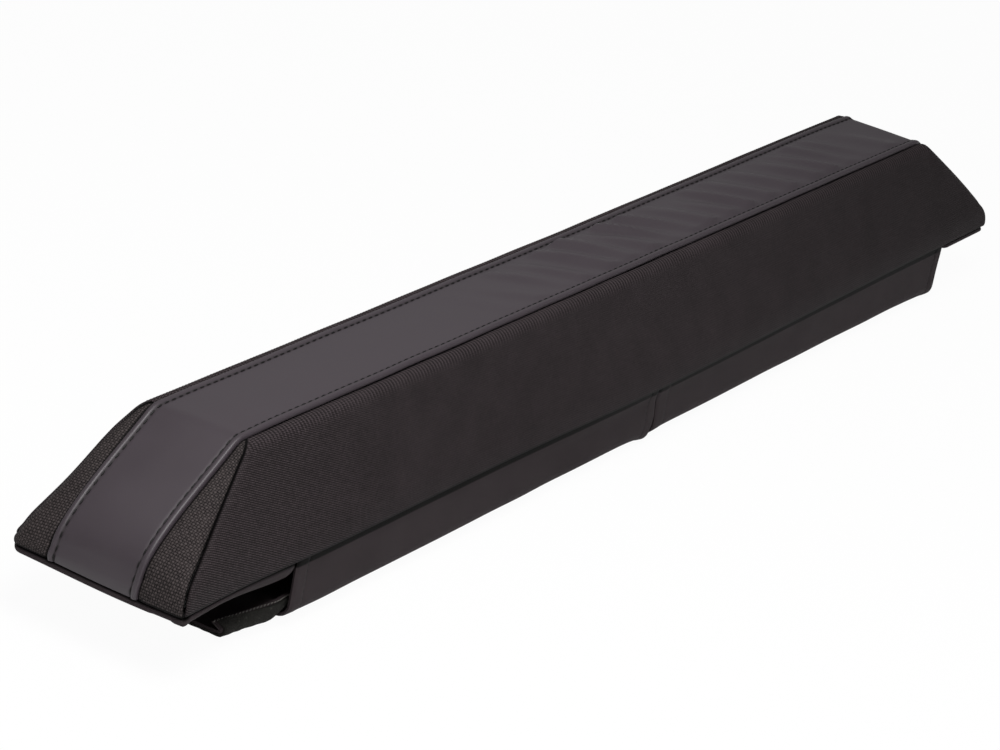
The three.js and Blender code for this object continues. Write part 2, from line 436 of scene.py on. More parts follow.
def face_outwards(piece, height):
    """Turns the faces away from the pad's long middle line at a height"""
    line_end = 250 * MM
    outward = 0.0
    for face in piece.data.polygons:
        middle_x = max(-line_end, min(line_end, face.center.x))
        outward += face.normal.dot(face.center - Vector((middle_x, 0, height))) * face.area
    if outward < 0:
        edit(piece, bpy.ops.mesh.flip_normals)


def lay_cloth(name, columns, rows, seat, flat, from_seam=None):
    """A grid of cloth with a point for each column and row value, seated by seat and flat by flat"""
    last_column, last_row = len(columns) - 1, len(rows) - 1
    piece = add(bpy.ops.mesh.primitive_grid_add,
                x_subdivisions=last_column, y_subdivisions=last_row, size=1)
    mesh = piece.data
    piece.name = mesh.name = name
    spots = [(columns[round((v.co.x + 0.5) * last_column)], rows[round((v.co.y + 0.5) * last_row)])
             for v in mesh.vertices]
    for vertex, spot in zip(mesh.vertices, spots):
        vertex.co = seat(*spot)
    layer = mesh.uv_layers.active or mesh.uv_layers.new()
    layer.name = "cloth"
    for loop in mesh.loops:
        layer.data[loop.index].uv = flat(*spots[loop.vertex_index])
    distances = mesh.attributes.new("from_seam", "FLOAT", "POINT")
    for index, spot in enumerate(spots):
        distances.data[index].value = from_seam(*spot) if from_seam else 1.0
    return piece


def finish_piece(piece, material, node=None):
    piece.data.materials.clear()
    piece.data.materials.append(material)
    select_only(piece)
    bpy.ops.object.shade_smooth_by_angle(angle=smooth_angle)
    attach(piece, "root")
    if node:
        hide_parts(node)
    print(piece.name, len(piece.data.polygons), "faces")


def thicken(piece, material, node, thickness=cover_thickness, middle_height=seam_height):
    """Faces the cloth outwards, thickens it inwards and finishes it"""
    face_outwards(piece, middle_height)
    apply_modifier(piece, "SOLIDIFY", thickness=thickness, offset=-1)
    finish_piece(piece, material, node)


def spaced(low, high, step):
    count = max(1, round((high - low) / step))
    return [low + (high - low) * k / count for k in range(count + 1)]


def eased(count):
    """Shares from 0 to 1, close together at both ends"""
    return [0.5 - 0.5 * math.cos(math.pi * k / count) for k in range(count + 1)]


def rise(value, low, high):
    """0 below low, 1 above high, smooth between"""
    share = max(0.0, min(1.0, (value - low) / (high - low)))
    return share * share * (3 - 2 * share)


def bell(value, width):
    return math.exp(-((value / width) ** 2))


def uneven(a, b, seed):
    """A smooth irregular value from -1 to 1"""
    return noise.noise(Vector((a, b, seed)))


# %% [markdown]
# ## The pad's sections
#
# Seen from the end and from the side, the pad is two simple outlines with rounded corners. A Section
# holds one half of such an outline, from the middle of the top down to the base seam, and knows how far
# along the cloth each point is. The cover is what the two outlines have in common.

# %% Sections with rounded corners
def rounded(corners, radii, steps=8):
    path = []
    for i, (corner, radius) in enumerate(zip(corners, radii)):
        here = Vector(corner)
        if radius <= 0:
            path.append(here)
            continue
        back = (Vector(corners[i - 1]) - here).normalized()
        ahead = (Vector(corners[i + 1]) - here).normalized()
        half = math.acos(max(-1.0, min(1.0, back.dot(ahead)))) / 2
        centre = here + (back + ahead).normalized() * (radius / math.sin(half))
        start = here + back * (radius / math.tan(half)) - centre
        left_turn = back.x * ahead.y - back.y * ahead.x < 0
        turn = (math.pi - 2 * half) * (1 if left_turn else -1)
        path += [centre + Matrix.Rotation(turn * k / steps, 2) @ start for k in range(steps + 1)]
    return path


class Section:
    def __init__(self, corners, radii):
        path = rounded(corners, radii)
        self.out = np.array([point.x for point in path])
        self.up = np.array([point.y for point in path])
        steps = np.hypot(np.diff(self.out), np.diff(self.up))
        self.run = np.concatenate([[0.0], np.cumsum(steps)])
        self.length = float(self.run[-1])

    def at(self, run):
        return float(np.interp(run, self.run, self.out)), float(np.interp(run, self.run, self.up))

    def left(self, run):
        """The unit vector square to the path, on its left"""
        before, after = self.at(run - 1.2 * MM), self.at(run + 1.2 * MM)
        step = Vector((after[0] - before[0], after[1] - before[1])).normalized()
        return -step.y, step.x

    def run_at_height(self, up):
        return float(np.interp(-up, -self.up, self.run))

    def out_at_height(self, up):
        return float(np.interp(-up, -self.up, self.out))

    def height_at_out(self, out):
        return float(np.interp(out, self.out, self.up))


knee_height = seam_height + hip_rise


def half_outline(top, knee, foot, radii):
    """From the middle of the load face over its edge and the knee to the base seam"""
    corners = [(0, load_height), (top, load_height), (knee, knee_height), (foot, seam_height)]
    return Section(corners, [0, *radii, 0])


crosswise = half_outline(half_top_width, half_width - hip_turn_in, half_width, [shoulder_radius, hip_radius])
lengthwise = half_outline(half_top_length, half_length, half_length, [crease_radius, knee_radius])
lap_height = crosswise.height_at_out(half_panel)
crease_run = half_top_length
knee_run = lengthwise.run_at_height(knee_height)
apex_run = lengthwise.run_at_height(lap_height)
print("the top panel is", round(2 * lengthwise.length / MM), "mm along the cloth")

# %% [markdown]
# ## What filling and use do to the shape
#
# A stuffed cover is never as straight as its pattern. The ends are crowned, the base seam bows out near
# its middle, and the far corners are softer than the near ones. All of that lives in small functions,
# which every panel uses, so neighbours still meet along their seams.

# %% Crowns, corners and the bow of the base seam
end_crown = 4.2 * MM
side_crown = 1.1 * MM
top_crown = 0.5 * MM
seam_pinch = 0.8 * MM
hip_depth = 2.2 * MM
hip_spread = 1.5 * MM
corner_along = {(-1, -1): 2.5 * MM, (1, -1): 2.5 * MM, (-1, 1): 28 * MM, (1, 1): 9 * MM}
corner_across = {(-1, -1): 2.5 * MM, (1, -1): 2.5 * MM, (-1, 1): 10 * MM, (1, 1): 9 * MM}
corner_depth = 34 * MM  # the corners reach their full softness this far below the load face
corner_slump = 4.5 * MM
shoulder_slump = 0.9 * MM
wander = 0.35 * MM
wander_length = 35 * MM


def pinch(distance, depth=seam_pinch, reach=1.1 * MM):
    """How deep the cloth dips this far from a seam"""
    return depth * math.exp(-distance / reach)


def seam_wander(run, sign):
    """How far the near or far lap strays sideways, for the cloth on both sides of it"""
    return wander * uneven(run / wander_length, 0.5 * sign, 7.7)


def end_swell(run):
    """How far the cloth of a sloped end swells out"""
    share = max(0.0, min(1.0, (run - crease_run) / (knee_run - crease_run)))
    return end_crown * max(0.0, math.sin(math.pi * share**2)) ** 0.75


def soften_corner(x, y, z):
    """Takes a point of the square-cornered form onto the rounded corner at its height"""
    sign_x, sign_y = (1 if x > 0 else -1), (1 if y > 0 else -1)
    softness = rise(load_height - z, 0, corner_depth) + 1e-6
    along = corner_along[sign_x, sign_y] * softness
    across = corner_across[sign_x, sign_y] * softness
    past_x = abs(x) - (lengthwise.out_at_height(z) - along)
    past_y = abs(y) - (crosswise.out_at_height(z) - across)
    if past_x <= 0 or past_y <= 0:
        return x, y
    short = min(1.0, 1 / math.hypot(past_x / along, past_y / across))
    return x - sign_x * past_x * (1 - short), y - sign_y * past_y * (1 - short)


def seam_bow(x):
    """How far the near base seam stands out at x"""
    middle = bell(x - 8 * MM, (95 if x < 8 * MM else 180) * MM)
    return 3.0 * MM * middle - 1.4 * MM * bell(x + 338 * MM, 40 * MM)


def side_bow(sign, x):
    """How far the near or far base seam stands out at x. The far one is weaker, and turned end for end."""
    return seam_bow(x) if sign < 0 else 0.6 * seam_bow(-x)


def end_sag(y):
    """How far the left end's seam hangs low between its corners"""
    return 1.6 * MM * bell(y + 14 * MM, 42 * MM)


def foot_sag(side, run, y):
    """How far the foot of a slope hangs low with the seam of its end"""
    return end_sag(y) * rise(run, knee_run - 12 * MM, lengthwise.length) if side < 0 else 0.0


def slump(x, y, z):
    """How far the knee of the far left corner and the far shoulder on the left have sunk"""
    near_corner = bell(y - half_width, 32 * MM) * bell(x + half_length, 50 * MM)
    up_to_knee = rise(z, seam_height, knee_height)
    corner = corner_slump * near_corner * up_to_knee * (1 - rise(z, knee_height, knee_height + 38 * MM))
    shoulder = rise(y, 0, half_panel) * (1 - rise(x, 0, 260 * MM)) * rise(z, knee_height, load_height)
    return corner + shoulder_slump * shoulder


def hip_dip(side, distance, width):
    """A hip seam's valley, with the cloth a little full beside it, where the gusset has this width"""
    depth = hip_depth if side < 0 else 0.6 * hip_depth
    fullness = 0.5 * MM if side < 0 else 1.3 * MM
    valley = pinch(distance, depth + fullness, hip_spread) - fullness * bell(distance, 14 * MM)
    return valley * rise(width, 0.5 * MM, 7 * MM)


def hip_way_out(side, sign, height):
    """The way out of the pad at a hip seam, halfway between the slope and the side panel"""
    slope_out, slope_up = lengthwise.left(lengthwise.run_at_height(height))
    side_out, side_up = crosswise.left(crosswise.run_at_height(height))
    return Vector((side * slope_out, sign * side_out, slope_up + side_up)).normalized()


# %% [markdown]
# ## The top panel
#
# One strip of coated cloth runs up an end, over the load face and down the other end. Its long edges are
# folded under and stitched down, so each edge is a rounded bead with a groove at the stitches. The cloth
# is a little longer than the foam, and the slack lies across the load face in soft, slanting wrinkles.

# %% Wrinkles, the lap and the seat of the top panel
wrinkle_rng = random.Random(11)
wrinkles = []
wrinkle_x = -125 * MM
while wrinkle_x < 300 * MM:
    strength = rise(wrinkle_x, -130 * MM, 20 * MM) * (1 - 0.7 * rise(wrinkle_x, 200 * MM, 300 * MM))
    wrinkles.append({
        "x": wrinkle_x,
        "y": wrinkle_rng.uniform(-10, 10) * MM,
        "height": wrinkle_rng.uniform(2.2, 3.6) * MM * strength,
        "width": wrinkle_rng.uniform(5.5, 8.0) * MM,
        "reach": wrinkle_rng.uniform(16, 30) * MM,
        "slant": wrinkle_rng.uniform(0.45, 0.8),
    })
    wrinkle_x += wrinkle_rng.uniform(17, 27) * MM


def wrinkle_lift(x, y):
    total = 0.0
    for w in wrinkles:
        off = x - w["x"] + w["slant"] * y
        if abs(off) < 3 * w["width"]:
            total += w["height"] * bell(off, w["width"]) * bell(y - w["y"], w["reach"])
    return total * (1 - rise(abs(y), half_panel - 7 * MM, half_panel - 4 * MM))


def lap_lift(inset):
    """The folded edge: a steep round flank, a crest and a groove where the stitches hold it down"""
    if inset < lap_flank:
        lift = lap_proud - (lap_proud + lap_sink) * (1 - math.sqrt(1 - (1 - inset / lap_flank) ** 2))
    else:
        lift = lap_proud * (1 - rise(inset, lap_flank + 0.8 * MM, lap_width + 0.5 * MM))
    return lift - 0.25 * MM * bell(inset - lap_width, 0.6 * MM)


def seat_top(run, across):
    side = 1 if run > 0 else -1
    out, up = lengthwise.at(abs(run))
    turn_out, turn_up = lengthwise.left(abs(run))
    inset = half_panel - abs(across)
    crown = end_swell(abs(run)) + top_crown * (1 - rise(abs(run), crease_run - 30 * MM, crease_run))
    crown *= 1 - 0.12 * (across / half_panel) ** 2
    lift = crown + lap_lift(inset) + wrinkle_lift(side * out, across)
    lift -= pinch(lengthwise.length - abs(run))
    lift += 0.25 * MM * uneven(run / (60 * MM), across / (30 * MM), 3.1)
    drop = load_height - crosswise.height_at_out(abs(across)) + foot_sag(side, abs(run), across)
    drop += slump(side * out, across, up)
    y = across + seam_wander(run, 1 if across > 0 else -1)
    return Vector((side * (out + turn_out * lift), y, up + turn_up * lift - drop))


# %% Lay the top panel
lap_insets_mm = 0, 0.08, 0.25, 0.5, 0.8, 1.2, 1.6, 2, 2.4, 2.7, 2.95, 3.15, 3.35, 3.6, 3.9, 4.4, 5.2, 6.5, 8
lap_insets = [inset * MM for inset in lap_insets_mm]
middle_rows = spaced(-half_panel + 10 * MM, half_panel - 10 * MM, 2.4 * MM)
top_rows = [-half_panel + inset for inset in lap_insets] + middle_rows
top_rows += [half_panel - inset for inset in reversed(lap_insets)]
top_columns = spaced(-lengthwise.length, lengthwise.length, 2.6 * MM)
# the distance from the stitch groove, which places the painted groove shade
top_panel = lay_cloth("top_panel_cloth", top_columns, top_rows, seat_top, lambda run, across: (run, across),
                      lambda run, across: abs(half_panel - abs(across) - lap_width))
thicken(top_panel, coated, "top_panel")

# %% [markdown]
# ## Side panels
#
# A side panel hangs from the lap, over the shoulder and down to the base seam. Its ends are cut to the
# hip seams, where the cross section meets the sloped end, so each column of cloth starts at the lower of
# the two and is then divided down to the base seam.

# %% Lay both side panels
side_rows = eased(27)
foot_run = lengthwise.run_at_height(seam_height + 5 * MM)
flat_columns = spaced(-half_top_length, half_top_length, rib_pitch / 4)
slope_columns = spaced(half_top_length, foot_run, 1.5 * MM)[1:]
side_columns = [-run for run in reversed(slope_columns)] + flat_columns + slope_columns


def gather(x, below):
    """Ribs square to the lap, where the side cloth is gathered under it"""
    patchy = 0.75 + 0.5 * uneven(x / (40 * MM), 0.3, 9.4)
    fade = (1 - rise(below, 3.5 * MM, 9.5 * MM)) * rise(below, 0.1 * MM, 1 * MM)
    fade *= 1 - 0.6 * rise(x, 60 * MM, 330 * MM)
    return 0.36 * MM * patchy * fade * math.sin(2 * math.pi * x / rib_pitch)


def side_span(run):
    """Where a column of side cloth starts and ends, as runs of the cross section"""
    return crosswise.run_at_height(min(lengthwise.at(abs(run))[1], lap_height)), crosswise.length


def seat_side(sign, run, share):
    side = 1 if run > 0 else -1
    out = lengthwise.at(abs(run))[0]
    start, end = side_span(run)
    here = start + (end - start) * share
    wide, z = crosswise.at(here)
    turn_y, turn_z = crosswise.left(here)
    x, y = soften_corner(side * out, sign * wide, z)
    fullness = min(1.0, (end - start) / (45 * MM))
    lift = side_crown * math.sin(math.pi * share) ** 0.7 * fullness
    valley = Vector((0, 0, 0))
    if start > side_span(0)[0] + 0.5 * MM:
        hip_wide, hip_height = crosswise.at(start)
        valley = hip_way_out(side, sign, hip_height) * hip_dip(side, here - start, hip_wide - half_panel)
    else:
        lift += gather(x, here - start) - pinch(here - start, lap_sink, 2.2 * MM)
    lift -= pinch(end - here, 0.5 * MM, 0.6 * MM)
    lift += 0.3 * MM * uneven(x / (70 * MM), z / (25 * MM), sign * 5.3) * math.sin(math.pi * share)
    y += sign * (lift * turn_y + side_bow(sign, x) * rise(share, 0.25, 1.0))
    sway = seam_wander(run, sign) * (1 - rise(share, 0, 0.2))
    return Vector((x, y + sway, z + lift * turn_z - slump(side * out, sign * wide, z))) - valley


def flat_side(run, share):
    side = 1 if run > 0 else -1
    start, end = side_span(run)
    return side * lengthwise.at(abs(run))[0], start + (end - start) * share - side_span(0)[0]


# where painted seam shade goes: the distance to the lap, hip and base seams
def side_from_seam(run, share):
    start, end = side_span(run)
    return min(share, 1 - share) * (end - start)


for name, sign in signs.items():
    side_panel = lay_cloth(f"side_cloth_{name}", side_columns, side_rows,
                           lambda run, share: seat_side(sign, run, share), flat_side, side_from_seam)
    thicken(side_panel, side_cloth, f"side_panel_{name}")
    side_depth = crosswise.length - side_span(0)[0]

# %% [markdown]
# ## Gussets
#
# Four woven triangles fill the corners between the top panel and the side panels on the sloped ends.
# Each starts as a point at the lap and widens down to the foot.

# %% Lay the four gussets
gusset_columns = spaced(apex_run + 0.6 * MM, lengthwise.length, 1.6 * MM)
gusset_rows = eased(22)


def gusset_reach(run):
    return max(crosswise.out_at_height(lengthwise.at(run)[1]), half_panel + 0.2 * MM)


def seat_gusset(side, sign, run, share):
    out, up = lengthwise.at(run)
    reach = gusset_reach(run)
    wide = half_panel + (reach - half_panel) * share
    turn_out, turn_up = lengthwise.left(run)
    x, y = soften_corner(side * out, sign * wide, up)
    fullness = 0.88 if sign < 0 else 0.6
    lift = fullness * end_swell(run) * (1 - share**1.6)
    lift -= pinch(wide - half_panel, lap_sink, 1.2 * MM)
    valley = hip_way_out(side, sign, up) * hip_dip(side, reach - wide, reach - half_panel)
    lift -= pinch(lengthwise.length - run)
    sway = seam_wander(side * run, sign) * (1 - share)
    bow = side_bow(sign, x) * (share * (1 - rise(up, seam_height, seam_height + 20 * MM)))
    sag = foot_sag(side, run, sign * wide) + slump(side * out, sign * wide, up)
    return Vector((x + side * turn_out * lift, y + sway + sign * bow, up + turn_up * lift - sag)) - valley


# where painted seam shade goes: the distance to the lap seam, the hip seam and the foot
def gusset_from_seam(run, share):
    return min(min(share, 1 - share) * (gusset_reach(run) - half_panel), lengthwise.length - run)


for side_name, side in (("left", -1), ("right", 1)):
    for name, sign in signs.items():
        gusset = lay_cloth(f"gusset_cloth_{side_name}_{name}", gusset_columns, gusset_rows,
                           lambda run, share: seat_gusset(side, sign, run, share),
                           lambda run, share: (half_panel + (gusset_reach(run) - half_panel) * share, run),
                           gusset_from_seam)
        thicken(gusset, gusset_cloth, f"end_gusset_{side_name}_{name}")

# %% [markdown]
# ## Stitches
#
# One stitch is modelled as a short, rounded length of thread. It is then copied along each seam, turned
# to follow the seam and pressed into the groove.

# %% A stitch, and a row of them
def one_stitch(length, width):
    stitch = add(bpy.ops.mesh.primitive_uv_sphere_add, segments=6, ring_count=5, radius=0.5)
    edit(stitch,
         lambda: bpy.ops.transform.rotate(value=math.pi / 2, orient_axis="Y", center_override=(0, 0, 0)),
         lambda: bpy.ops.transform.resize(value=(length, width, 0.8 * width)))
    points = np.array([vertex.co for vertex in stitch.data.vertices])
    faces = [list(face.vertices) for face in stitch.data.polygons]
    bpy.data.meshes.remove(stitch.data)
    return points, faces


def stitch_row(name, places, length, width, material, slot):
    """places holds a middle, a direction along the seam and one away from the cloth for each stitch"""
    points, faces = one_stitch(length, width)
    vertices, polygons = [], []
    for middle, along, away in places:
        along = along.normalized()
        aside = away.cross(along).normalized()
        turn = np.array([along, aside, along.cross(aside)])
        polygons += [[index + len(vertices) for index in face] for face in faces]
        vertices += (points @ turn + np.array(middle)).tolist()
    mesh = bpy.data.meshes.new(name)
    mesh.from_pydata(vertices, [], polygons)
    row = bpy.data.objects.new(name, mesh)
    bpy.context.collection.objects.link(row)
    finish_piece(row, material)


lap_stitch = 3.1 * MM, 0.75 * MM  # length and width
stitch_pitch = 5.0 * MM
stitch_proud = 0.28 * MM
for name, sign in signs.items():
    places = []
    for run in spaced(-lengthwise.length + 3 * MM, lengthwise.length - 3 * MM, stitch_pitch):
        across = sign * (half_panel - lap_width)
        here = seat_top(run, across)
        ahead = seat_top(run + 1 * MM, across) - seat_top(run - 1 * MM, across)
        inwards = seat_top(run, across - sign * 1 * MM) - seat_top(run, across + sign * 1 * MM)
        away = ahead.cross(inwards) * -sign
        places.append((here + away.normalized() * stitch_proud, ahead, away))
    stitch_row(f"lap_stitches_{name}", places, *lap_stitch, dark_thread, "coated_cloth")

# %% [markdown]
# ## The base panel and its rim
#
# The base panel closes the cover from below. Its padded middle lies on the bar, and its rim is sewn to
# the cover all round. The rim shows under the seam wherever no flap covers it, and beside the left
# opening the cloth is slack and hangs lower.

# %% The rim of the base panel
rim_height = 3.5 * MM
rim_depth = 4 * MM
rim_step = 2 * MM
slack_drop = 6 * MM
tuck_in = 3.2 * MM  # how far the rim lies in behind a flap
rim_corners = [(-half_length, -half_width), (half_length, -half_width),
               (half_length, half_width), (-half_length, half_width)]


def under_flap(x, y):
    """1 where a flap hangs outside the rim"""
    shift = 17.5 * MM if y < 0 else -17.5 * MM
    if abs(y) < half_width - 6 * MM:
        return 0.0
    reach = 314.5 * MM
    return 1 - rise(abs(x - shift), reach - 1 * MM, reach + 3 * MM)


def rim_outline():
    """Points of the base seam, in order round the pad"""
    outline = []
    for i, (x, y) in enumerate(rim_corners):
        following = rim_corners[(i + 1) % 4]
        steps = round((Vector(following) - Vector((x, y))).length / rim_step)
        for k in range(steps):
            spot = Vector((x, y)).lerp(Vector(following), k / steps)
            outline.append(Vector(soften_corner(spot.x, spot.y, seam_height)))
    return outline


rim_points = rim_outline()


def seat_rim(index, share):
    point = rim_points[index % len(rim_points)]
    ahead = rim_points[(index + 1) % len(rim_points)] - rim_points[index - 1]
    way_out = Vector((ahead.y, -ahead.x)).normalized()
    covered = under_flap(point.x, point.y)
    in_opening = point.y < -40 * MM and point.x < 0
    slack = (1 - covered) * rise(point.x, -352 * MM, -300 * MM) if in_opening else 0.0
    height = rim_height + slack_drop * slack
    if point.y < -40 * MM:  # a little deeper at the near left corner
        height += 0.7 * MM * bell(point.x + half_length - 6 * MM, 14 * MM)
    across, upward = math.cos(2 * math.pi * share), math.sin(2 * math.pi * share)
    across = math.copysign(abs(across) ** (1 - 0.6 * slack), across)
    upward = math.copysign(abs(upward) ** (1 - 0.4 * slack), upward)
    outward = rim_depth / 2 * (across - 1) - 0.5 * MM - tuck_in * covered
    low = height / 2 * (upward - 1) - 0.15 * MM
    lean = -5 * MM * slack * (low / height) ** 2
    if point.y < -30 * MM:
        outward += seam_bow(point.x) * (1 - 0.5 * covered)
    spot = point + way_out * (outward + lean)
    sag = end_sag(point.y) if point.x < 6 * MM - half_length else 0.0
    return Vector((spot.x, spot.y, seam_height + low - sag))


# the rim's distance from its top places painted seam shade along the base seam
rim = lay_cloth("base_rim", list(range(len(rim_points) + 1)), spaced(0, 1, 1 / 14), seat_rim,
                lambda index, share: (index * rim_step, share * 22 * MM),
                lambda index, share: rim_height / 2 * (1 - math.sin(2 * math.pi * share)))
edit(rim,
     lambda: bpy.ops.mesh.remove_doubles(threshold=1e-6),
     lambda: bpy.ops.mesh.normals_make_consistent(inside=False))
finish_piece(rim, flap_finish)

# %% [markdown]
# ### The padded middle, by cloth simulation
#
# The padding under the base is a thin quilt, so its edge is pinned where it is sewn and a little pressure
# is let in. The cloth swells between the pins as the real one does. The same is done to the foam block,
# which fills the cover. How far a point may move is limited, so nothing swells out of its place.

# %% Swelling a closed piece
def swell(piece, pinned, most, pressure, frames=20):
    """Pins the points that pinned picks, lets pressure in and keeps each move under the distance most"""
    mesh = piece.data
    before = [vertex.co.copy() for vertex in mesh.vertices]
    group = piece.vertex_groups.new(name="sewn")
    group.add([v.index for v in mesh.vertices if pinned(v.co)], 1.0, "REPLACE")
    select_only(piece)
    cloth = piece.modifiers.new("Cloth", "CLOTH")
    cloth.settings.use_pressure = True
    cloth.settings.uniform_pressure_force = pressure
    cloth.settings.vertex_group_mass = "sewn"
    cloth.settings.effector_weights.gravity = 0
    cloth.settings.tension_stiffness = 40
    cloth.settings.compression_stiffness = 40
    cloth.point_cache.frame_end = frames
    scene = bpy.context.scene
    for step in range(1, frames + 1):
        scene.frame_set(step)
    bpy.ops.object.modifier_apply(modifier=cloth.name)
    scene.frame_set(1)
    for vertex, start in zip(mesh.vertices, before):
        move = vertex.co - start
        vertex.co = start + move * (most / (most + move.length))
    piece.vertex_groups.clear()


# %% The padded middle of the base
pad_inset = 5.5 * MM
cut_every = 8 * MM
base_pad = add(bpy.ops.mesh.primitive_cube_add, size=1)
base_pad.name = "base_padding"
pad_size = (2 * (half_length - pad_inset), 2 * (half_width - pad_inset), 2.6 * MM)
pad_place = Vector((0, 0, seam_height - 0.6 * MM - 1.3 * MM))
edit(base_pad,
     lambda: bpy.ops.transform.resize(value=pad_size),
     lambda: bpy.ops.transform.translate(value=pad_place))


def cut_pad():
    """Divides the slab both ways by bisecting it, so that it can swell"""
    cuts = [((x, 0, 0), (1, 0, 0)) for x in spaced(-half_length, half_length, cut_every)[1:-1]]
    cuts += [((0, y, 0), (0, 1, 0)) for y in spaced(-half_width, half_width, cut_every)[1:-1]]
    for place, square_to in cuts:
        bpy.ops.mesh.select_all(action="SELECT")
        bpy.ops.mesh.bisect(plane_co=place, plane_no=square_to)


edit(base_pad, cut_pad)
swell(base_pad, lambda place: abs(place.y) > half_width - pad_inset - 2 * MM or place.z > pad_place.z,
      1.2 * MM, 2.0)
apply_modifier(base_pad, "SUBSURF", levels=1, render_levels=1)
edit(base_pad, lambda: bpy.ops.uv.cube_project(cube_size=1.0))
base_pad.data.uv_layers[0].name = "cloth"
# it has no from_seam attribute, so the gusset cloth's painted seam shade covers all of it and it shows near
# black
finish_piece(base_pad, gusset_cloth, "base_panel")

# %% The foam block
foam_inset = 3.2 * MM


def fit_in_cover(foam):
    """Draws the foam in under the cloth, and rounds and sinks its corners as the cover's are"""
    for vertex in foam.data.vertices:
        x, y, z = vertex.co
        ease = 1 - foam_inset / half_width
        outer_x = math.copysign(abs(x) + 2 * MM, x)
        outer_y = math.copysign(abs(y) + 2 * MM, y)
        soft_x, soft_y = soften_corner(outer_x, outer_y, z)
        sunk = slump(outer_x, outer_y, z) + (foam_inset - 2 * MM) * rise(z, seam_height, load_height)
        vertex.co = (soft_x * (1 - foam_inset / half_length), soft_y * ease, z - sunk)


select_only(frame["nodes"]["foam_core"])
bpy.ops.object.duplicate()
foam_block = bpy.context.object
foam_block.name = "foam_block"
foam_block.parent = None
foam_block.matrix_world = Matrix.Identity(4)
for key in list(foam_block.keys()):
    del foam_block[key]
edit(foam_block, lambda: bpy.ops.mesh.remove_doubles(threshold=1e-5))
apply_modifier(foam_block, "REMESH", mode="VOXEL", voxel_size=5 * MM)
fit_in_cover(foam_block)
swell(foam_block, lambda place: place.z < seam_height + 3 * MM, 0.6 * MM, 4.0)
finish_piece(foam_block, foam, "foam_core")

# %% [markdown]
# ## The flaps
#
# Every flap is a strip of cloth that follows a folded path across the pad: down from the base seam, round
# a fold and in under the bar. A path may change along the pad, because the hems droop and the far flap's
# bare end leans in. The hems at both ends are folded double, so they stand proud and carry stitches.

# %% Paths of the near flaps
hem_width = 9 * MM
flap_reach = 26 * MM


def span_of(node):
    """Where a CAD strip starts and ends along the pad"""
    low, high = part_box(node)
    return low.x, high.x


near_spans = {name: span_of(f"flap_near_{name}") for name in ("left", "right")}


def near_droop(name, x):
    """How far the fold of a near flap hangs below its even height"""
    low, high = near_spans[name]
    if name == "left":
        return 3.4 * MM * math.exp(-(high - x) / (11 * MM)) - 1.4 * MM * math.exp(-(x - low) / (25 * MM))
    return 3.0 * MM * math.exp(-(high - x) / (28 * MM)) + 0.8 * MM * math.exp(-(x - low) / (9 * MM))


def near_path(name, x):
    droop = near_droop(name, x)
    top_y = wall + 0.5 * MM + 0.45 * seam_bow(x)
    return Section(
        [(-top_y, seam_height - 0.2 * MM), (-wall - 0.2 * MM, seam_height - 9 * MM), (-wall, -droop),
         (-wall + flap_reach, 0)],
        [0, 20 * MM, fold_radius, 0],
    )


def hem_lift(distance):
    """A folded hem is twice as thick, and the stitches pull a groove at its inner edge"""
    step = 0.18 * MM * (1 - rise(distance, hem_width - 1.5 * MM, hem_width + 1.5 * MM))
    return step - 0.2 * MM * bell(distance - hem_width, 0.9 * MM) - 0.5 * MM * bell(distance, 0.7 * MM)


paths = {}


def path_of(kind, name, x):
    key = (kind, name, round(x, 6))
    if key not in paths:
        paths[key] = flap_kinds[kind](name, x)
    return paths[key]


def seat_flap(kind, name, outside, x, share, span, waves=0.3 * MM):
    path = path_of(kind, name, x)
    run = share * path.length
    y, z = path.at(run)
    left_y, left_z = path.left(run)
    lift = hem_lift(min(x - span[0], span[1] - x)) if span else 0.0
    lift += waves * uneven(x / (38 * MM), run / (16 * MM), 2.2) * rise(share, 0, 0.15)
    shift = split_shift(name, x, run) if kind == "near" else 0.0
    return Vector((x + shift, y + outside * left_y * lift, z + outside * left_z * lift))


# %% Paths of the far flaps and the tapes
tape_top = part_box("hook_tape_near_left")[1].z
tape_reach = 24 * MM
far_top = 10.5 * MM
step_start, step_end = -15 * MM, 5 * MM
bare_end = near_spans["left"][0]  # beyond it the far flap's end shows in the opening


def far_path(name, x):
    """Down the far wall, under the bar, and up inside the near flap, where it lies three layers deep"""
    held = rise(x, bare_end - 9 * MM, bare_end + 3 * MM)
    beyond = max(0.0, bare_end - x)
    layers = 3 * layer_step

    def settle(held_up, free):
        """held_up where the near flap holds this flap's end, free where the end hangs in the opening"""
        return held_up * held + (1 - held) * free

    wall_in = settle(layers, 3.4 * MM + 0.18 * beyond)
    floor = settle(layers, 1.7 * MM)
    shoulder = settle(7.9 * MM, 8.6 * MM - 0.12 * beyond)
    free_y = settle(-wall + layers, -42 * MM + 0.34 * beyond)
    free_z = settle(far_top, 11 * MM - 0.12 * beyond)
    top_y = wall + 0.5 * MM + 0.3 * seam_bow(-x)
    return Section(
        [(top_y, seam_height - 0.2 * MM), (wall + 0.2 * MM, seam_height - 9 * MM), (wall, 0), (step_end, 0),
         (step_start, floor), (-wall + wall_in, floor), (-wall + wall_in, shoulder), (free_y, free_z)],
        [0, 20 * MM, fold_radius, 6 * MM, 6 * MM, min(3.3 * MM, shoulder - floor - 0.9 * MM), 1.2 * MM, 0],
    )


def hook_path(name, x):
    inner = -wall + layer_step
    return Section([(inner, tape_top), (inner, layer_step), (-wall + tape_reach, layer_step)],
                   [0, fold_radius - layer_step, 0])


flap_kinds = {"near": near_path, "far": far_path, "hook": hook_path}
tape_width = 30 * MM


